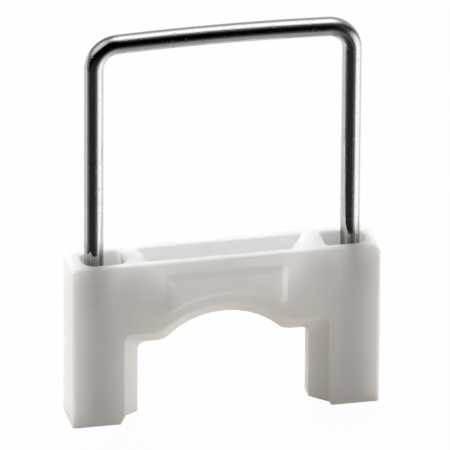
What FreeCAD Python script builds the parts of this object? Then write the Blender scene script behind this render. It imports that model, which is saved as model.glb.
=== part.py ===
import FreeCAD, Part

import math
import os

from FreeCAD import Vector

# Cable staple: a moulded plastic saddle and the steel wire staple that is driven through it.
# Millimetres. X runs along the saddle, Y through its thickness, Z up from the feet.

# Saddle block
SADDLE_WIDTH = 32.66
SADDLE_DEPTH = 5.35
SADDLE_HEIGHT = 18.2
BLOCK_EDGE_RADIUS = 0.42
RIGHT_TOP_RADIUS = 1.2

# Cable passage: two straight legs, a flat shoulder each side and a round arch between them
PASSAGE_WIDTH = 18.2
SHOULDER_HEIGHT = 8.55
ARCH_RADIUS = 8.5
ARCH_CREST = 11.3
SHOULDER_FILLET = 0.9
ARCH_CORNER_RADIUS = 2.0
BEVEL_SIZE = 1.72
LAND_DEPTH = 1.95

# Raised pad on each broad face, above the arch, with sloping sides
PAD_WIDTH = 12.76
PAD_TOP = 16.89
PAD_HEIGHT = 0.45
PAD_SLOPE_RUN = 0.62
PAD_CORNER_RADIUS = 0.5
ARCH_TO_PAD_BAND = 0.93

# Softness of the edges that the mould forms round the passage, the pads and the top slots
MOULD_EDGE_RADIUS = 0.25

# Hollow along the top and the two wire pockets, between a front and a back wall
SLOT_FRONT = 1.7
SLOT_BACK = 1.35
TROUGH_LENGTH = 17.6
TROUGH_DEPTH = 4.2
TROUGH_RAMP_ANGLE = 53.0
POCKET_DEPTH = 4.5
POCKET_INNER_RADIUS = 0.4
POCKET_OUTER_RADIUS = 1.2
# Inner and outer end of each pocket, measured out from the middle of the saddle
LEFT_POCKET = (10.6, 14.85)
RIGHT_POCKET = (10.7, 15.1)

# Toe of each foot, as points out from the middle and up: end of the sole, top of the slant, start of
# the level part that goes on under the land
LEFT_TOE = ((11.24, 0), (10.68, 0.9), (9.25, 0.57))
RIGHT_TOE = ((11.2, 0), (10.95, 0.44), (9.25, 0.44))

# Wire staple
WIRE_DIAMETER = 2.05
WIRE_SPACING = 27.12
BEND_RADIUS = 2.6
CROWN_SLOPE = 2.1
CROWN_CENTRE_HEIGHT = 42.6
TIP_HEIGHT = 1.0
POINT_LENGTH = 2.4
POINT_EDGE = 0.3
GUIDE_CLEARANCE = 0.05

# How far a cutting solid reaches past the face that it cuts, and a pad's root into the block
OVERCUT = 0.3
# How far off a plane an edge may stray and still count as lying in it
PLANE_TOLERANCE = 2e-3
# Distance under which two points count as one
POINT_TOLERANCE = 1e-6

FACE_Y = SADDLE_DEPTH / 2
LAND_Y = LAND_DEPTH / 2
BEVEL_DEPTH = FACE_Y - LAND_Y
PAD_Y = FACE_Y + PAD_HEIGHT
ARCH_CENTRE_Z = ARCH_CREST - ARCH_RADIUS
LEG_X = WIRE_SPACING / 2
WIRE_RADIUS = WIRE_DIAMETER / 2
END_X = SADDLE_WIDTH / 2
SLOT_WIDTH = SLOT_FRONT + SLOT_BACK


def arc(centre, radius, start, end):
    """Arc edge in an XZ plane round a centre point, between two angles in degrees."""
    def point(angle):
        turn = math.radians(angle)
        return centre + Vector(radius * math.cos(turn), 0, radius * math.sin(turn))

    return Part.Arc(point(start), point((start + end) / 2), point(end)).toShape()


def joined(edges):
    """Closed wire of edges in order, with a straight edge across each gap."""
    chain = []
    for edge, following in zip(edges, edges[1:] + edges[:1]):
        chain.append(edge)
        end = edge.valueAt(edge.LastParameter)
        start = following.valueAt(following.FirstParameter)
        if end.distanceToPoint(start) > POINT_TOLERANCE:
            chain.append(Part.makeLine(end, start))
    return Part.Wire(chain)


def passage_outline(y, grow):
    """Outline of the cable passage at depth y, grown outwards by the given distance."""
    wall = PASSAGE_WIDTH / 2 + grow
    shoulder = SHOULDER_HEIGHT + grow
    fillet = SHOULDER_FILLET
    corner = ARCH_CORNER_RADIUS
    arch = ARCH_RADIUS + grow
    corner_rise = shoulder + corner - ARCH_CENTRE_Z
    corner_x = math.sqrt((arch + corner) ** 2 - corner_rise ** 2)
    lean = math.degrees(math.atan2(corner_rise, corner_x))
    fillet_x = wall - fillet
    fillet_z = shoulder - fillet
    corner_z = shoulder + corner
    foot = -OVERCUT
    return joined([
        Part.makeLine(Vector(-wall, y, foot), Vector(-wall, y, fillet_z)),
        arc(Vector(-fillet_x, y, fillet_z), fillet, 180, 90),
        arc(Vector(-corner_x, y, corner_z), corner, -90, -lean),
        arc(Vector(0, y, ARCH_CENTRE_Z), arch, 180 - lean, lean),
        arc(Vector(corner_x, y, corner_z), corner, lean - 180, -90),
        arc(Vector(fillet_x, y, fillet_z), fillet, 90, 0),
        Part.makeLine(Vector(wall, y, fillet_z), Vector(wall, y, foot)),
    ])


def pad_outline(y, grow):
    """Outline of a pad at depth y: two sides, a flat top and a bottom concentric with the arch."""
    side = PAD_WIDTH / 2 - PAD_SLOPE_RUN + grow
    top = PAD_TOP - PAD_SLOPE_RUN + grow
    bottom = ARCH_RADIUS + BEVEL_SIZE + ARCH_TO_PAD_BAND + PAD_SLOPE_RUN - grow
    corner = PAD_CORNER_RADIUS
    corner_x = side - corner
    low_rise = math.sqrt((bottom + corner) ** 2 - corner_x ** 2)
    low_z = ARCH_CENTRE_Z + low_rise
    high_z = top - corner
    lean = math.degrees(math.atan2(low_rise, corner_x))
    return joined([
        arc(Vector(-corner_x, y, high_z), corner, 180, 90),
        arc(Vector(corner_x, y, high_z), corner, 90, 0),
        arc(Vector(corner_x, y, low_z), corner, 0, lean - 180),
        arc(Vector(0, y, ARCH_CENTRE_Z), bottom, lean, 180 - lean),
        arc(Vector(-corner_x, y, low_z), corner, -lean, -180),
    ])


def loft(outlines):
    """Solid of straight rulings between outlines that have matching edges."""
    return Part.makeLoft(outlines, True, True)


def on_both_faces(solid):
    """The solid and its mirror image through the middle of the saddle's thickness."""
    return [solid, solid.mirror(Vector(0, 0, 0), Vector(0, 1, 0))]


def on_both_ends(solid):
    """The solid and its mirror image through the middle of the saddle's length."""
    return [solid, solid.mirror(Vector(0, 0, 0), Vector(1, 0, 0))]


def point_along(edge, share):
    """Point at a share of an edge's length, from 0 at its start to 1 at its end."""
    span = edge.LastParameter - edge.FirstParameter
    return edge.valueAt(edge.FirstParameter + share * span)


def lies_in(edge, axis, value):
    """True where an edge lies in the plane that has one coordinate at the given value."""
    points = [point_along(edge, share) for share in (0, 0.5, 1)]
    return all(abs(point[axis] - value) < PLANE_TOLERANCE for point in points)


def at_top(edge):
    """True where an edge lies in the plane of the saddle's top."""
    return lies_in(edge, 2, SADDLE_HEIGHT)


def upright_edges(shape):
    """Straight edges that run along Z."""
    def upright(box):
        return max(box.XLength, box.YLength) < POINT_TOLERANCE

    return [edge for edge in shape.Edges if upright(edge.BoundBox)]


def saddle_block():
    """Block with soft upright edges and upper rim, and a rounder top at its right end."""
    corner = Vector(-END_X, -FACE_Y, 0)
    block = Part.makeBox(SADDLE_WIDTH, SADDLE_DEPTH, SADDLE_HEIGHT, corner)
    right_top = [edge for edge in block.Edges if at_top(edge) and lies_in(edge, 0, END_X)]
    block = block.makeFillet(RIGHT_TOP_RADIUS, right_top)
    left_top = [edge for edge in block.Edges if at_top(edge) and lies_in(edge, 0, -END_X)]
    return block.makeFillet(BLOCK_EDGE_RADIUS, upright_edges(block) + left_top)


def cable_passage():
    """Cutters for the passage: a straight land in the middle and a bevel out to each face."""
    land = Part.Face(passage_outline(-LAND_Y, 0)).extrude(Vector(0, LAND_DEPTH, 0))
    reach = 1 + OVERCUT / BEVEL_DEPTH
    outer = passage_outline(-LAND_Y - reach * BEVEL_DEPTH, reach * BEVEL_SIZE)
    bevel = loft([outer, passage_outline(-LAND_Y, 0)])
    return [land] + on_both_faces(bevel)


def face_pads():
    """Raised pads with sloping sides, rooted in the block."""
    reach = 1 + OVERCUT / PAD_HEIGHT
    root = pad_outline(-PAD_Y + reach * PAD_HEIGHT, reach * PAD_SLOPE_RUN)
    return on_both_faces(loft([root, pad_outline(-PAD_Y, 0)]))


def top_trough():
    """Cutter for the hollow along the top, with a ramp at each end."""
    half = TROUGH_LENGTH / 2
    floor_z = SADDLE_HEIGHT - TROUGH_DEPTH
    run = 1 / math.tan(math.radians(TROUGH_RAMP_ANGLE))
    floor_half = half - TROUGH_DEPTH * run
    mouth_half = half + OVERCUT * run
    mouth_z = SADDLE_HEIGHT + OVERCUT
    wall_y = -SLOT_FRONT
    outline = Part.makePolygon([
        Vector(-mouth_half, wall_y, mouth_z),
        Vector(-floor_half, wall_y, floor_z),
        Vector(floor_half, wall_y, floor_z),
        Vector(mouth_half, wall_y, mouth_z),
        Vector(-mouth_half, wall_y, mouth_z),
    ])
    return Part.Face(outline).extrude(Vector(0, SLOT_WIDTH, 0))


def wire_pocket(side, ends):
    """Cutter for the open pocket round one wire leg, whose outer end is almost half round."""
    inner, outer = ends
    corner = Vector(inner, -SLOT_FRONT, SADDLE_HEIGHT - POCKET_DEPTH)
    pocket = Part.makeBox(outer - inner, SLOT_WIDTH, POCKET_DEPTH + OVERCUT, corner)
    for x, radius in ((inner, POCKET_INNER_RADIUS), (outer, POCKET_OUTER_RADIUS)):
        corners = [edge for edge in upright_edges(pocket) if lies_in(edge, 0, x)]
        pocket = pocket.makeFillet(radius, corners)
    if side < 0:
        return pocket.mirror(Vector(0, 0, 0), Vector(1, 0, 0))
    return pocket


def guide_holes():
    """Cutters for the holes that carry the wire down through the legs."""
    foot = Vector(LEG_X, 0, -OVERCUT)
    hole = Part.makeCylinder(WIRE_RADIUS + GUIDE_CLEARANCE, SADDLE_HEIGHT + OVERCUT, foot)
    return on_both_ends(hole)


def toe_cut(side, toe):
    """Cutter under one foot's inner edge: a slant up from the sole, then down to the level part."""
    front = -FACE_Y - OVERCUT
    sole, crease, level = (Vector(side * x, front, z) for x, z in toe)
    under = sole + (sole - crease) * OVERCUT
    middle = [Vector(0, front, level.z), Vector(0, front, under.z)]
    outline = Part.makePolygon([under, crease, level] + middle + [under])
    return Part.Face(outline).extrude(Vector(0, -2 * front, 0))


def moulded_edges(body):
    """Edges round the passage and pads on both faces, along the land and round the top slots."""
    chosen = []
    pad_top = PAD_TOP + PLANE_TOLERANCE
    slot_end = max(LEFT_POCKET[1], RIGHT_POCKET[1]) + PLANE_TOLERANCE
    slot_wall = max(SLOT_FRONT, SLOT_BACK) + PLANE_TOLERANCE
    for edge in body.Edges:
        middle = point_along(edge, 0.5)
        inside_face = abs(middle.x) < LEG_X and PLANE_TOLERANCE < middle.z < pad_top
        inside_rim = abs(middle.x) < slot_end and abs(middle.y) < slot_wall
        side = math.copysign(1, middle.y)
        on_side = any(lies_in(edge, 1, side * depth) for depth in (FACE_Y, LAND_Y, PAD_Y))
        if on_side and inside_face or at_top(edge) and inside_rim:
            chosen.append(edge)
    return chosen


def saddle():
    """The moulded saddle."""
    cutters = cable_passage() + [top_trough()] + guide_holes()
    cutters += [wire_pocket(-1, LEFT_POCKET), wire_pocket(1, RIGHT_POCKET)]
    body = saddle_block()
    for pad in face_pads():
        body = body.fuse(pad)
    for cutter in cutters:
        body = body.cut(cutter)
    body = body.removeSplitter()
    body = body.makeFillet(MOULD_EDGE_RADIUS, moulded_edges(body))
    for toe in (toe_cut(-1, LEFT_TOE), toe_cut(1, RIGHT_TOE)):
        body = body.cut(toe)
    return body.Solids[0]


def staple_path():
    """Centre line of the wire: leg, bend, slightly bowed crown, bend, leg."""
    slope = math.radians(CROWN_SLOPE)
    centre_x = LEG_X - BEND_RADIUS
    crown_x = centre_x + BEND_RADIUS * math.sin(slope)
    bow = crown_x * math.tan(slope / 2)
    crown_z = CROWN_CENTRE_HEIGHT - bow
    centre_z = crown_z - BEND_RADIUS * math.cos(slope)
    crown = Part.Arc(
        Vector(-crown_x, 0, crown_z),
        Vector(0, 0, CROWN_CENTRE_HEIGHT),
        Vector(crown_x, 0, crown_z),
    )
    return Part.Wire([
        Part.makeLine(Vector(-LEG_X, 0, TIP_HEIGHT), Vector(-LEG_X, 0, centre_z)),
        arc(Vector(-centre_x, 0, centre_z), BEND_RADIUS, 180, 90 + CROWN_SLOPE),
        crown.toShape(),
        arc(Vector(centre_x, 0, centre_z), BEND_RADIUS, 90 - CROWN_SLOPE, 0),
        Part.makeLine(Vector(LEG_X, 0, centre_z), Vector(LEG_X, 0, TIP_HEIGHT)),
    ])


def chisel_cuts():
    """Cutters that grind both flanks of each leg to a chisel point."""
    outline = Part.makePolygon([
        Vector(LEG_X + POINT_EDGE / 2, -WIRE_DIAMETER, TIP_HEIGHT),
        Vector(LEG_X + WIRE_RADIUS, -WIRE_DIAMETER, TIP_HEIGHT + POINT_LENGTH),
        Vector(LEG_X + WIRE_DIAMETER, -WIRE_DIAMETER, TIP_HEIGHT + POINT_LENGTH),
        Vector(LEG_X + WIRE_DIAMETER, -WIRE_DIAMETER, TIP_HEIGHT - OVERCUT),
        Vector(LEG_X + POINT_EDGE / 2, -WIRE_DIAMETER, TIP_HEIGHT - OVERCUT),
        Vector(LEG_X + POINT_EDGE / 2, -WIRE_DIAMETER, TIP_HEIGHT),
    ])
    outer = Part.Face(outline).extrude(Vector(0, 2 * WIRE_DIAMETER, 0))
    inner = outer.mirror(Vector(LEG_X, 0, 0), Vector(1, 0, 0))
    return on_both_ends(outer) + on_both_ends(inner)


def wire_staple():
    """The bent wire with its two points."""
    section = Part.Circle(Vector(-LEG_X, 0, TIP_HEIGHT), Vector(0, 0, 1), WIRE_RADIUS)
    wire = staple_path().makePipeShell([Part.Wire(section.toShape())], True, True)
    for cutter in chisel_cuts():
        wire = wire.cut(cutter)
    return wire.Solids[0]


def main():
    """Write one file for each piece."""
    os.makedirs("parts", exist_ok=True)
    for name, shape in (("saddle", saddle()), ("wire_staple", wire_staple())):
        shape.exportStep(f"parts/{name}.step")
        print(name, "valid", shape.isValid(), "volume", round(shape.Volume, 1), shape.BoundBox)


if __name__ == "__main__":
    main()
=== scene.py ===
"""Cable staple: a moulded polyethylene saddle with a zinc-plated wire staple standing in its top.

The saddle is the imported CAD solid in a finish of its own. The wire is swept here, along the centre
line of the CAD wire, so that its bends mirror the studio without facets.
"""

import logging
import math
from dataclasses import dataclass
from enum import Enum
from typing import Any

import bpy
import numpy as np
from mathutils import Matrix, Vector


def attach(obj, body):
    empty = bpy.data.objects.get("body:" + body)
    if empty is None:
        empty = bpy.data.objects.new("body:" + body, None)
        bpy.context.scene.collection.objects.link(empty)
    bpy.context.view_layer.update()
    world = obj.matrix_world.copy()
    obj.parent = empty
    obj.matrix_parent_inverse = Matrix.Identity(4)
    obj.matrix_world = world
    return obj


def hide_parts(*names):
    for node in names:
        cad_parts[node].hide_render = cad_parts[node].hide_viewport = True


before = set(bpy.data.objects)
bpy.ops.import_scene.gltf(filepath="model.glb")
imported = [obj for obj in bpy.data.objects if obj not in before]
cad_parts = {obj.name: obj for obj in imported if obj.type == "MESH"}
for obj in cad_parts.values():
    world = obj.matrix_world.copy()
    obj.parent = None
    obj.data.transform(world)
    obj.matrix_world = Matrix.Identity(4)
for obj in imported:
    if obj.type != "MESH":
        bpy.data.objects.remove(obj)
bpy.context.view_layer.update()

LOG = logging.getLogger("cable_staple")
MM = 0.001
IMAGE_SIDE = 450
# Blender gives lenses and sensors in millimetres.
SENSOR_WIDTH = 36.0
# The place in the part that the lamps face.
MIDDLE = Vector((0, 0, 15 * MM))
# A Mix node's sockets for colours. Its sockets for numbers have the same names.
COLOUR_A = 6
COLOUR_B = 7
COLOUR_RESULT = 2


class Body(Enum):
    """CAD body that the swept wire rides on."""

    STAPLE = "staple_body"


class Slot(Enum):
    """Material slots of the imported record."""

    SADDLE = "saddle_polyethylene"
    WIRE = "staple_wire"


class WireAttribute(Enum):
    """Values that the wire's mesh keeps for its finish."""

    UNBENT = "unbent"
    FROM_TIP = "from_tip"


def linear(code: str) -> tuple[float, float, float, float]:
    """Turn an sRGB hex colour into linear light, channel by channel along the sRGB curve.

    Args:
        code: Six hex digits after a hash.

    Returns:
        Red, green and blue in linear light, and an alpha of 1.
    """
    channels = np.array([int(code[place:place + 2], 16) for place in (1, 3, 5)]) / 255
    curve = np.where(channels <= 0.04045, channels / 12.92, ((channels + 0.055) / 1.055) ** 2.4)
    return (*curve.tolist(), 1.0)


def towards(azimuth: float, elevation: float) -> Vector:
    """Unit vector from the part to a place in the studio.

    Args:
        azimuth: Degrees round the part, 0 in front of it on the -Y side and 90 on its right.
        elevation: Degrees above the floor.

    Returns:
        The direction in the row frame.
    """
    turn, rise = math.radians(azimuth), math.radians(elevation)
    return Vector((
        math.sin(turn) * math.cos(rise),
        -math.cos(turn) * math.cos(rise),
        math.sin(rise),
    ))


def add_node(
    tree: bpy.types.NodeTree,
    kind: str,
    settings: dict[str, Any] | None = None,
    inputs: dict[int | str, Any] | None = None,
) -> bpy.types.Node:
    """Add a node with its settings and links.

    Args:
        tree: Node tree that gets the node.
        kind: Blender's name for the type of node.
        settings: Properties of the node and their values.
        inputs: Input sockets by name or number, each with a value or with the socket that feeds it.

    Returns:
        The new node.
    """
    node = tree.nodes.new(kind)
    for name, value in (settings or {}).items():
        setattr(node, name, value)
    for key, value in (inputs or {}).items():
        if isinstance(value, bpy.types.NodeSocket):
            tree.links.new(value, node.inputs[key])
        else:
            node.inputs[key].default_value = value
    return node


def empty_material(name: str) -> bpy.types.Material:
    """Make a material whose node tree is empty.

    Args:
        name: The real material and how its surface was made.

    Returns:
        The new material.
    """
    material = bpy.data.materials.new(name)
    material.use_nodes = True
    material.node_tree.nodes.clear()
    return material


@dataclass(frozen=True)
class MouldedPolyethylene:
    """Natural white polyethylene from a satin mould.

    Light goes a few millimetres into it, so thin walls glow and edges are soft, and shade turns
    warm. The skin is satin, with the faint cloud of the flow and the fine grain of the mould, and
    handling has polished its edges, which are also painted a lighter colour as a highlight.
    """

    white: str = "#f5f6f6"
    clouded: str = "#f1f2f1"
    refraction: float = 1.5
    scatter_share: float = 0.68
    scatter_depth: float = 7.0 * MM
    scatter_tint: tuple[float, float, float] = (1.0, 0.95, 0.91)
    cloud_size: float = 4.0 * MM
    cloud_detail: float = 4.0
    cloud_swirl: float = 0.6
    # The mould's grain is nearer 0.05 mm and is drawn coarser, so that it shows.
    grain_size: float = 0.22 * MM
    grain_detail: float = 3.0
    grain_height: float = 0.004 * MM
    # The grain's noise at the lowest and at the highest roughness, and those two.
    satin_grain: tuple[float, float] = (0.3, 0.7)
    roughness: tuple[float, float] = (0.36, 0.5)
    sink_size: float = 3.5 * MM
    sink_detail: float = 1.0
    sink_height: float = 0.02 * MM
    # The lighter edge colour is a painted highlight; the same mask also smooths the edges as wear.
    wear_highlight_colour: str = "#fbfaf9"
    wear_highlight_width: float = 0.35 * MM
    worn_roughness: float = 0.3
    # Cosines of the turn of the surface at which the wear and the painted edge highlight start and are
    # full.
    wear_highlight_turn: tuple[float, float] = (0.995, 0.88)
    wear_highlight_samples: int = 6

    def material(self) -> bpy.types.Material:
        """Build the node tree: clouding tints the colour, grain and sink marks shape the skin.

        The mask is the share by which a rounded normal, taken over the width of the wear,
        turns away from the true one, so it is zero on flat faces and grows towards the edges. There
        it lowers the roughness, as wear, and lightens the colour, as a painted highlight.

        Returns:
            The finished material.
        """
        material = empty_material("polyethylene_moulded_satin")
        tree = material.node_tree
        place = add_node(tree, "ShaderNodeTexCoord").outputs["Object"]
        millimetres = add_node(tree, "ShaderNodeVectorMath", {"operation": "SCALE"}, {
            "Vector": place, "Scale": 1 / MM}).outputs[0]
        cloud = add_node(tree, "ShaderNodeTexNoise", inputs={
            "Vector": millimetres, "Scale": MM / self.cloud_size,
            "Detail": self.cloud_detail, "Distortion": self.cloud_swirl})
        grain = add_node(tree, "ShaderNodeTexNoise", inputs={
            "Vector": millimetres, "Scale": MM / self.grain_size, "Detail": self.grain_detail})
        sink = add_node(tree, "ShaderNodeTexNoise", inputs={
            "Vector": millimetres, "Scale": MM / self.sink_size, "Detail": self.sink_detail})
        tint = add_node(tree, "ShaderNodeMix", {"data_type": "RGBA"}, {
            "Factor": cloud.outputs["Fac"],
            COLOUR_A: linear(self.white), COLOUR_B: linear(self.clouded)})
        satin = add_node(tree, "ShaderNodeMapRange", inputs={
            "Value": grain.outputs["Fac"],
            "From Min": self.satin_grain[0], "From Max": self.satin_grain[1],
            "To Min": self.roughness[0], "To Max": self.roughness[1]})
        rounded = add_node(tree, "ShaderNodeBevel", {"samples": self.wear_highlight_samples}, {
            "Radius": self.wear_highlight_width})
        turned = add_node(tree, "ShaderNodeVectorMath", {"operation": "DOT_PRODUCT"}, {
            0: rounded.outputs["Normal"],
            1: add_node(tree, "ShaderNodeNewGeometry").outputs["Normal"]})
        wear_highlight_mask = add_node(tree, "ShaderNodeMapRange", inputs={
            "Value": turned.outputs["Value"],
            "From Min": self.wear_highlight_turn[0], "From Max": self.wear_highlight_turn[1]})
        # Painted highlight: the edges lighter in colour.
        wear_highlight_tint = add_node(tree, "ShaderNodeMix", {"data_type": "RGBA"}, {
            "Factor": wear_highlight_mask.outputs["Result"],
            COLOUR_A: tint.outputs[COLOUR_RESULT], COLOUR_B: linear(self.wear_highlight_colour)})
        worn_satin = add_node(tree, "ShaderNodeMix", inputs={
            "Factor": wear_highlight_mask.outputs["Result"], "A": satin.outputs["Result"],
            "B": self.worn_roughness})
        wave = add_node(tree, "ShaderNodeBump", inputs={
            "Height": sink.outputs["Fac"], "Distance": self.sink_height})
        skin = add_node(tree, "ShaderNodeBump", inputs={
            "Height": grain.outputs["Fac"], "Distance": self.grain_height,
            "Normal": wave.outputs["Normal"]})
        plastic = add_node(tree, "ShaderNodeBsdfPrincipled", inputs={
            "Base Color": wear_highlight_tint.outputs[COLOUR_RESULT], "Roughness": worn_satin.outputs[0],
            "Normal": skin.outputs["Normal"], "IOR": self.refraction,
            "Subsurface Weight": self.scatter_share, "Subsurface Scale": self.scatter_depth,
            "Subsurface Radius": self.scatter_tint})
        add_node(tree, "ShaderNodeOutputMaterial", inputs={"Surface": plastic.outputs["BSDF"]})
        return material


@dataclass(frozen=True)
class BrightZincWire:
    """Drawn steel wire with bright zinc plating.

    It mirrors the studio in long bands, broken by the fine lines of the drawing die, by specks in
    the plating and, where the legs enter the plastic, by painted shade: dark streaks that stand
    for the pockets' shade and dark reflection.
    """

    zinc: str = "#e4e5e7"
    dull_zinc: str = "#c9cac9"
    # Die lines are nearer 0.02 mm wide and are drawn coarser, so that they show.
    line_width: float = 0.16 * MM
    line_length: float = 7.0 * MM
    line_detail: float = 2.0
    line_height: float = 0.004 * MM
    # The lines' noise at the lowest and at the highest roughness, and those two.
    shine_lines: tuple[float, float] = (0.35, 0.75)
    roughness: tuple[float, float] = (0.06, 0.2)
    speck_size: float = 0.28 * MM
    speck_detail: float = 3.0
    # The specks' noise at which a speck starts and is full.
    speck_noise: tuple[float, float] = (0.62, 0.74)
    speck_height: float = 0.01 * MM
    bow_length: float = 2.2 * MM
    bow_detail: float = 1.0
    bow_height: float = 0.02 * MM
    # Colour of the painted shade and dark reflection where the legs enter the pockets.
    pocket_shade: str = "#77766c"
    # Lengths from the points at which there is no painted shade and the full painted shade, under a
    # pocket and over it.
    pocket_shade_foot: tuple[float, float] = (12.0 * MM, 13.5 * MM)
    pocket_shade_top: tuple[float, float] = (20.0 * MM, 17.2 * MM)
    # The lines' noise where the painted shade is thinnest and thickest, and its shares there.
    pocket_shade_lines: tuple[float, float] = (0.3, 0.7)
    pocket_shade_shares: tuple[float, float] = (0.25, 1.35)

    def material(self) -> bpy.types.Material:
        """Build the node tree on the unbent wire's own coordinates, so that lines follow the bends.

        Returns:
            The finished material.
        """
        material = empty_material("steel_wire_bright_zinc")
        tree = material.node_tree
        unbent = add_node(tree, "ShaderNodeAttribute", {
            "attribute_name": WireAttribute.UNBENT.value})
        millimetres = add_node(tree, "ShaderNodeVectorMath", {"operation": "SCALE"}, {
            "Vector": unbent.outputs["Vector"], "Scale": 1 / MM}).outputs[0]
        drawn = add_node(tree, "ShaderNodeMapping", inputs={
            "Vector": millimetres,
            "Scale": (MM / self.line_width, MM / self.line_width, MM / self.line_length)})
        lines = add_node(tree, "ShaderNodeTexNoise", inputs={
            "Vector": drawn.outputs["Vector"], "Scale": 1.0, "Detail": self.line_detail})
        specks = add_node(tree, "ShaderNodeTexNoise", inputs={
            "Vector": millimetres, "Scale": MM / self.speck_size, "Detail": self.speck_detail})
        pits = add_node(tree, "ShaderNodeMapRange", inputs={
            "Value": specks.outputs["Fac"],
            "From Min": self.speck_noise[0], "From Max": self.speck_noise[1]})
        bow = add_node(tree, "ShaderNodeTexNoise", inputs={
            "Vector": millimetres, "Scale": MM / self.bow_length, "Detail": self.bow_detail})
        tint = add_node(tree, "ShaderNodeMix", {"data_type": "RGBA"}, {
            "Factor": pits.outputs["Result"],
            COLOUR_A: linear(self.zinc), COLOUR_B: linear(self.dull_zinc)})
        from_tip = add_node(tree, "ShaderNodeAttribute", {
            "attribute_name": WireAttribute.FROM_TIP.value})
        foot, top = (add_node(tree, "ShaderNodeMapRange", {"interpolation_type": "SMOOTHSTEP"}, {
            "Value": from_tip.outputs["Fac"], "From Min": none, "From Max": full,
        }) for none, full in (self.pocket_shade_foot, self.pocket_shade_top))
        pocket_shade_band = add_node(tree, "ShaderNodeMath", {"operation": "MULTIPLY"}, {
            0: foot.outputs["Result"], 1: top.outputs["Result"]})
        shade_streaks = add_node(tree, "ShaderNodeMapRange", inputs={
            "Value": lines.outputs["Fac"],
            "From Min": self.pocket_shade_lines[0], "From Max": self.pocket_shade_lines[1],
            "To Min": self.pocket_shade_shares[0], "To Max": self.pocket_shade_shares[1]})
        streaked_shade = add_node(tree, "ShaderNodeMath", {"operation": "MULTIPLY", "use_clamp": True}, {
            0: pocket_shade_band.outputs[0], 1: shade_streaks.outputs["Result"]})
        # Painted shade: the legs darker in streaks where they enter the pockets.
        pocket_shaded = add_node(tree, "ShaderNodeMix", {"data_type": "RGBA"}, {
            "Factor": streaked_shade.outputs[0],
            COLOUR_A: tint.outputs[COLOUR_RESULT], COLOUR_B: linear(self.pocket_shade)})
        shine = add_node(tree, "ShaderNodeMapRange", inputs={
            "Value": lines.outputs["Fac"],
            "From Min": self.shine_lines[0], "From Max": self.shine_lines[1],
            "To Min": self.roughness[0], "To Max": self.roughness[1]})
        waved = add_node(tree, "ShaderNodeBump", inputs={
            "Height": bow.outputs["Fac"], "Distance": self.bow_height})
        lined = add_node(tree, "ShaderNodeBump", inputs={
            "Height": lines.outputs["Fac"], "Distance": self.line_height,
            "Normal": waved.outputs["Normal"]})
        pitted = add_node(tree, "ShaderNodeBump", {"invert": True}, {
            "Height": pits.outputs["Result"], "Distance": self.speck_height,
            "Normal": lined.outputs["Normal"]})
        metal = add_node(tree, "ShaderNodeBsdfPrincipled", inputs={
            "Base Color": pocket_shaded.outputs[COLOUR_RESULT], "Metallic": 1.0,
            "Roughness": shine.outputs["Result"], "Normal": pitted.outputs["Normal"]})
        add_node(tree, "ShaderNodeOutputMaterial", inputs={"Surface": metal.outputs["BSDF"]})
        return material


@dataclass(frozen=True)
class LightTablePaper:
    """Pale paper on a light table. The camera sees it almost white, with the part's soft shadow."""

    paper: str = "#bab2ab"
    glow: str = "#7d7771"
    white_share: float = 0.97

    def material(self) -> bpy.types.Material:
        """Build the node tree: matt paper with a soft glow, lifted towards white for the camera alone.

        Returns:
            The finished material.
        """
        material = empty_material("paper_matt_pale")
        tree = material.node_tree
        rays = add_node(tree, "ShaderNodeLightPath")
        lift = add_node(tree, "ShaderNodeMath", {"operation": "MULTIPLY"}, {
            0: rays.outputs["Is Camera Ray"], 1: self.white_share})
        matt = add_node(tree, "ShaderNodeBsdfDiffuse", inputs={"Color": linear(self.paper)})
        table = add_node(tree, "ShaderNodeEmission", inputs={"Color": linear(self.glow)})
        lit = add_node(tree, "ShaderNodeAddShader", inputs={0: matt.outputs[0], 1: table.outputs[0]})
        white = add_node(tree, "ShaderNodeEmission", inputs={"Strength": 1.0})
        seen = add_node(tree, "ShaderNodeMixShader", inputs={
            0: lift.outputs[0], 1: lit.outputs[0], 2: white.outputs[0]})
        add_node(tree, "ShaderNodeOutputMaterial", inputs={"Surface": seen.outputs[0]})
        return material


@dataclass(frozen=True)
class Saddle:
    """The moulded saddle, which keeps its CAD mesh."""

    node: str = "saddle"
    finish: MouldedPolyethylene = MouldedPolyethylene()

    def dress(self) -> bpy.types.Object:
        """Give the CAD node the finish of the moulded plastic.

        Returns:
            The CAD node's object.
        """
        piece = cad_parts[self.node]
        piece.data.materials.clear()
        piece.data.materials.append(self.finish.material())
        return piece


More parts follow.
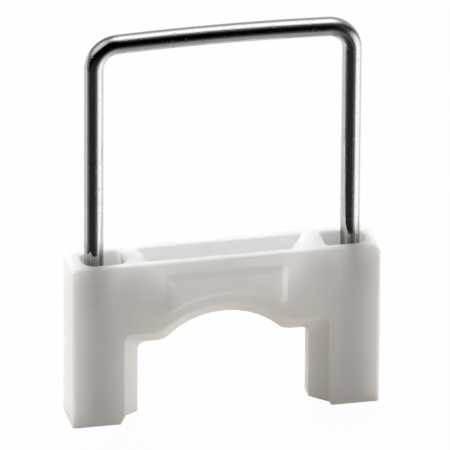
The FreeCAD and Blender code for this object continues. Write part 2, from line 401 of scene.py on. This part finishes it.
@dataclass(frozen=True)
class WireStaple:
    """The bent wire: two legs with chisel points, two bends and a slightly bowed crown."""

    node: str = "wire_staple"
    radius: float = 1.02 * MM
    spacing: float = 27.12 * MM
    bend_radius: float = 2.6 * MM
    crown_slope: float = math.radians(2.1)
    crown_height: float = 42.6 * MM
    tip_height: float = 1.0 * MM
    point_length: float = 2.4 * MM
    point_edge: float = 0.3 * MM
    ring_points: int = 64
    ring_gap: float = 0.12 * MM
    finish: BrightZincWire = BrightZincWire()

    def centre_line(self) -> tuple[np.ndarray, np.ndarray, np.ndarray]:
        """Follow the wire from the left point, over the crown, to the right point.

        The heading is a straight-line function of the length along each stretch: constant on the
        legs, and falling by the length over the radius on the bends and on the crown. The place is
        the sum of the chords.

        Returns:
            Length along the wire, heading as an angle above +X, and XZ places, one row each.
        """
        half = self.spacing / 2
        inner = half - self.bend_radius
        crown_half = inner + self.bend_radius * math.sin(self.crown_slope)
        crown_radius = crown_half / math.sin(self.crown_slope)
        crown_end = self.crown_height - crown_half * math.tan(self.crown_slope / 2)
        bend_start = crown_end - self.bend_radius * math.cos(self.crown_slope)
        leg = bend_start - self.tip_height
        bend = self.bend_radius * (math.pi / 2 - self.crown_slope)
        crown = crown_radius * 2 * self.crown_slope
        marks = np.cumsum([0, leg, bend, crown, bend, leg])
        turns = [math.pi / 2, math.pi / 2, self.crown_slope,
                 -self.crown_slope, -math.pi / 2, -math.pi / 2]
        length = np.linspace(0, marks[-1], round(marks[-1] / self.ring_gap) + 1)
        heading = np.interp(length, marks, turns)
        middle = (heading[1:] + heading[:-1]) / 2
        chord = np.diff(length) * np.sinc(np.diff(heading) / 2 / math.pi)
        steps = np.stack([np.cos(middle), np.sin(middle)], axis=1) * chord[:, None]
        places = np.vstack([[0, 0], np.cumsum(steps, axis=0)]) + [-half, self.tip_height]
        return length, heading, places

    def rings(self) -> tuple[np.ndarray, np.ndarray, np.ndarray]:
        """Carry a circle along the centre line.

        A ring's point at angle v lies radius * cos(v) along the in-plane normal of the line and
        radius * sin(v) along Y. Near a point the first of the two is limited to the ground flanks,
        which close in a straight line towards the chisel edge.

        Returns:
            Places on the bent wire and on the unbent one, each by ring and angle, and each ring's
            length from the nearer tip.
        """
        length, heading, places = self.centre_line()
        angle = np.linspace(0, 2 * math.pi, self.ring_points, endpoint=False)
        from_tip = np.minimum(length, length[-1] - length)
        edge = self.point_edge / 2
        flank = edge + (self.radius - edge) * np.clip(from_tip / self.point_length, 0, 1)
        outward = np.clip(self.radius * np.cos(angle), -flank[:, None], flank[:, None])
        across = np.broadcast_to(self.radius * np.sin(angle), outward.shape)
        along = np.broadcast_to(length[:, None], outward.shape)
        bent = np.stack([
            places[:, :1] - np.sin(heading)[:, None] * outward,
            across,
            places[:, 1:] + np.cos(heading)[:, None] * outward,
        ], axis=2)
        unbent = np.stack([outward, across, along], axis=2)
        return bent, unbent, from_tip

    @staticmethod
    def faces(rows: int, columns: int) -> tuple[list[list[int]], list[list[int]]]:
        """Join each ring to the next with quads, and each end ring to its middle with a fan.

        Args:
            rows: Number of rings.
            columns: Number of points on a ring.

        Returns:
            The quads of the wall, and the triangles of the two ends.
        """
        grid = np.arange(rows * columns).reshape(rows, columns)
        beside = np.roll(grid, -1, axis=1)
        wall = np.stack([grid[:-1], grid[1:], beside[1:], beside[:-1]], axis=2).reshape(-1, 4)
        first = np.stack([grid[0], beside[0], np.full(columns, grid.size)], axis=1)
        last = np.stack([beside[-1], grid[-1], np.full(columns, grid.size + 1)], axis=1)
        return wall.tolist(), np.vstack([first, last]).tolist()

    def mesh(self) -> bpy.types.Mesh:
        """Close the rings to a wire, smooth along its wall and sharp round its two ends.

        Returns:
            The wire's mesh, with each vertex's unbent place and its length from the nearer tip.
        """
        bent, unbent, from_tip = self.rings()
        rows, columns = bent.shape[:2]
        wall, ends = self.faces(rows, columns)
        corners, unbent_corners = (
            np.vstack([points.reshape(-1, 3), points[[0, -1]].mean(axis=1)])
            for points in (bent, unbent)
        )
        mesh = bpy.data.meshes.new("staple_wire")
        mesh.from_pydata(corners.tolist(), [], wall + ends)
        mesh.polygons.foreach_set("use_smooth", np.arange(len(mesh.polygons)) < len(wall))
        place = mesh.attributes.new(WireAttribute.UNBENT.value, "FLOAT_VECTOR", "POINT")
        place.data.foreach_set("vector", unbent_corners.ravel())
        height = mesh.attributes.new(WireAttribute.FROM_TIP.value, "FLOAT", "POINT")
        height.data.foreach_set("value", np.append(np.repeat(from_tip, columns), [0.0, 0.0]))
        mesh.update()
        return mesh

    def build(self) -> bpy.types.Object:
        """Put the swept wire in the place of the CAD wire.

        Returns:
            The wire's object.
        """
        piece = bpy.data.objects.new("staple_wire", self.mesh())
        bpy.context.scene.collection.objects.link(piece)
        piece.data.materials.append(self.finish.material())
        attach(piece, Body.STAPLE.value)
        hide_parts(self.node)
        return piece


@dataclass(frozen=True)
class Patch:
    """A soft round patch of the studio's walls, at angles in degrees, full inside its inner one."""

    azimuth: float
    elevation: float
    inner: float
    outer: float
    level: float


@dataclass(frozen=True)
class Softbox:
    """A square lamp with a diffuser. Its level is what it adds to a white card that faces it."""

    name: str
    azimuth: float
    elevation: float
    level: float
    distance: float = 0.6
    side: float = 0.4

    def hang(self) -> bpy.types.Object:
        """Hang the lamp in the studio, turned towards the part.

        Its power is the level times the square of pi times the distance: pi once for the spread of
        a flat lamp's light, and once for that of the white card's.

        Returns:
            The lamp's object.
        """
        data = bpy.data.lights.new(self.name, "AREA")
        data.shape = "SQUARE"
        data.size = self.side
        data.energy = self.level * (math.pi * self.distance) ** 2
        lamp = bpy.data.objects.new(self.name, data)
        away = towards(self.azimuth, self.elevation)
        lamp.location = away * self.distance + MIDDLE
        lamp.rotation_mode = "QUATERNION"
        lamp.rotation_quaternion = away.to_track_quat("Z", "Y")
        lamp.visible_camera = False
        lamp.visible_glossy = False
        bpy.context.scene.collection.objects.link(lamp)
        return lamp


@dataclass(frozen=True)
class Studio:
    """A pale light table, softboxes at both sides and high at the back, and a dark room in front."""

    floor_side: float = 3.0
    # Room under the feet for the light that goes up into the translucent plastic.
    floor_drop: float = 0.05 * MM
    fill_level: float = 0.02
    backdrop_level: float = 1.0
    wall_level: float = 0.26
    # Each patch is painted over those before it.
    patches: tuple[Patch, ...] = (
        Patch(95, 1, 78, 90, 0.52),
        Patch(-137, -34, 33, 41, 0.85),
        Patch(152, -28, 8, 50, 1.2),
        Patch(55, 4, 34, 62, 0.06),
        Patch(-30, 15, 39, 74, 0.0),
        Patch(-30, -32, 12, 36, 0.03),
        Patch(70, -26, 4, 44, 1.5),
        Patch(-98, 46, 4, 40, 0.95),
        Patch(115, 76, 4, 34, 1.6),
    )
    softboxes: tuple[Softbox, ...] = (
        Softbox("right_softbox", 75, 8, 0.75),
        Softbox("left_softbox", -95, 20, 0.63, side=0.1),
        Softbox("roof_softbox", 180, 58, 1.1),
    )
    paper: LightTablePaper = LightTablePaper()

    def lay_floor(self) -> bpy.types.Object:
        """Lay the paper: one square just under the feet.

        Returns:
            The floor's object.
        """
        half, down = self.floor_side / 2, -self.floor_drop
        corners = [(-half, -half, down), (half, -half, down), (half, half, down), (-half, half, down)]
        mesh = bpy.data.meshes.new("floor")
        mesh.from_pydata(corners, [], [(0, 1, 2, 3)])
        floor = bpy.data.objects.new("floor", mesh)
        mesh.materials.append(self.paper.material())
        bpy.context.scene.collection.objects.link(floor)
        # Bright metal shows the studio's walls below the floor's edge, as on a raised glass stand.
        floor.visible_glossy = False
        return floor

    def paint_walls(self) -> bpy.types.World:
        """Paint the surround: a faint even fill, walls that metal mirrors, and white for the camera.

        Returns:
            The scene's world.
        """
        world = bpy.data.worlds.new("studio")
        world.use_nodes = True
        tree = world.node_tree
        tree.nodes.clear()
        direction = add_node(tree, "ShaderNodeTexCoord").outputs["Generated"]
        tone: float | bpy.types.NodeSocket = self.wall_level
        for patch in self.patches:
            facing = add_node(tree, "ShaderNodeVectorMath", {"operation": "DOT_PRODUCT"}, {
                0: direction, 1: towards(patch.azimuth, patch.elevation)})
            share = add_node(tree, "ShaderNodeMapRange", {"interpolation_type": "SMOOTHSTEP"}, {
                "Value": facing.outputs["Value"],
                "From Min": math.cos(math.radians(patch.outer)),
                "From Max": math.cos(math.radians(patch.inner))})
            tone = add_node(tree, "ShaderNodeMix", inputs={
                "Factor": share.outputs["Result"], "A": tone, "B": patch.level}).outputs[0]
        rays = add_node(tree, "ShaderNodeLightPath")
        mirrored = add_node(tree, "ShaderNodeMath", {"operation": "MAXIMUM"}, {
            0: rays.outputs["Is Glossy Ray"], 1: rays.outputs["Is Transmission Ray"]})
        around = add_node(tree, "ShaderNodeMix", inputs={
            "Factor": mirrored.outputs[0], "A": self.fill_level, "B": tone})
        shown = add_node(tree, "ShaderNodeMix", inputs={
            "Factor": rays.outputs["Is Camera Ray"], "A": around.outputs[0],
            "B": self.backdrop_level})
        light = add_node(tree, "ShaderNodeBackground", inputs={"Strength": shown.outputs[0]})
        add_node(tree, "ShaderNodeOutputWorld", inputs={"Surface": light.outputs[0]})
        bpy.context.scene.world = world
        return world

    def set_up(self) -> None:
        """Lay the floor, paint the surround and hang the lamps."""
        self.lay_floor()
        self.paint_walls()
        for softbox in self.softboxes:
            softbox.hang()


@dataclass(frozen=True)
class ProductCamera:
    """A long lens, in front of the part, a little to its left and above it."""

    azimuth: float = -12.2031
    elevation: float = 26.1625
    roll: float = math.radians(0.3695)
    distance: float = 1.094
    target: tuple[float, float, float] = (0.2928 * MM, 0.0, 20.69 * MM)
    focal_pixels: float = 10567.88
    far_limit: float = 100.0

    def place(self) -> bpy.types.Object:
        """Stand the camera up and make it the scene's own.

        Returns:
            The camera's object.
        """
        data = bpy.data.cameras.new("camera")
        data.sensor_width = SENSOR_WIDTH
        data.lens = SENSOR_WIDTH * self.focal_pixels / IMAGE_SIDE
        data.clip_end = self.far_limit
        away = towards(self.azimuth, self.elevation)
        level_right = Vector((0, 0, 1)).cross(away).normalized()
        level_up = away.cross(level_right)
        right = level_right * math.cos(self.roll) + level_up * math.sin(self.roll)
        axes = Matrix((right, away.cross(right), away)).transposed()
        camera = bpy.data.objects.new("camera", data)
        camera.matrix_world = Matrix.LocRotScale(
            Vector(self.target) + away * self.distance, axes.to_quaternion(), None)
        bpy.context.scene.collection.objects.link(camera)
        bpy.context.scene.camera = camera
        return camera


def main() -> None:
    """Dress the saddle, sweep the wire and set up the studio."""
    logging.basicConfig(level=logging.INFO, format="%(name)s: %(message)s")
    bpy.context.scene.view_settings.view_transform = "Standard"
    for piece in (Saddle().dress(), WireStaple().build()):
        LOG.info("%s has %d faces", piece.name, len(piece.data.polygons))
    Studio().set_up()
    camera = ProductCamera().place()
    LOG.info("camera lens is %.1f mm", camera.data.lens)


if __name__ == "__main__":
    main()
